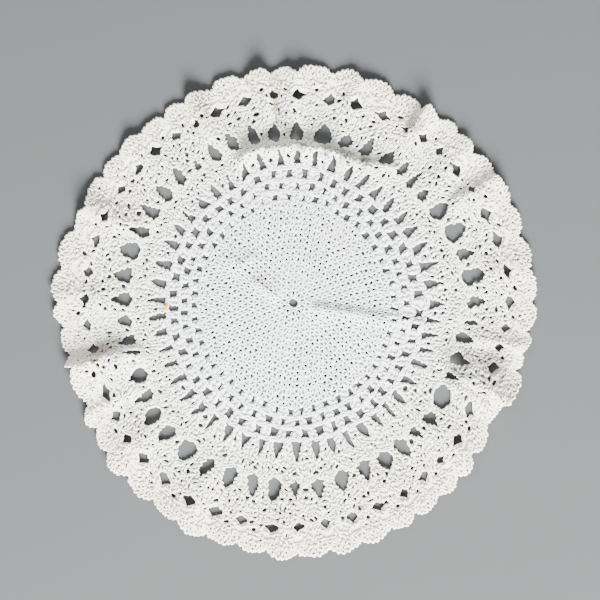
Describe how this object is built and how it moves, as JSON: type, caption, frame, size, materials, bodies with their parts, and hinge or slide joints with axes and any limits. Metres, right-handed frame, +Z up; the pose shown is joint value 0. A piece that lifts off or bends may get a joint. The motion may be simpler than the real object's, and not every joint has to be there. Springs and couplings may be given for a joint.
{
  "type": "lace doily",
  "caption": "Round white crocheted cotton doily with a close centre, open lace rounds and a ruffled scalloped edge, lying flat.",
  "frame": {"origin": "on the table top, under the middle of the doily's box", "axes": "+Z up from the table, +Y away from the viewer, +X to the viewer's right"},
  "size_m": [0.3016, 0.3076, 0.0124],
  "materials": {
    "cotton": "matte crocheted cotton yarn"
  },
  "bodies": {
    "root": {"doily": "cotton"}
  },
  "joints": []
}
